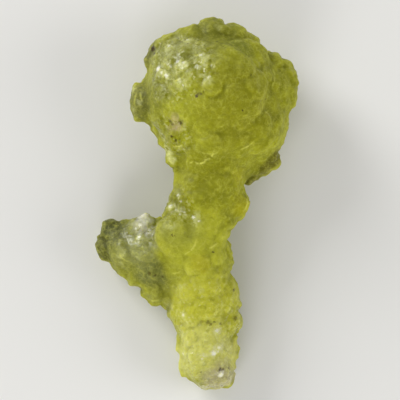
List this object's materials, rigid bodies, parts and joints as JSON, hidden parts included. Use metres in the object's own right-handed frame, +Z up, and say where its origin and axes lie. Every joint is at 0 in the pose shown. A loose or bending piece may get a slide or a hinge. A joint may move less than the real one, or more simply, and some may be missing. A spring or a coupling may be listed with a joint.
{
  "type": "brucite mineral specimen",
  "caption": "Knobbly club-shaped mineral specimen with a bulbous head, a short side arm and a tapering foot, lying on its back to be displayed.",
  "frame": {"origin": "middle of the bounding box on the surface that the specimen lies on", "axes": "+X across the specimen, away from the side arm; +Y along it from the foot to the head; +Z up from the surface"},
  "size_m": [0.0406, 0.0748, 0.0247],
  "materials": {
    "brucite": "translucent yellow-green crystal crust, waxy to pearly, with paler frosted tips"
  },
  "bodies": {
    "root": {"brucite_specimen": "brucite"}
  },
  "joints": []
}
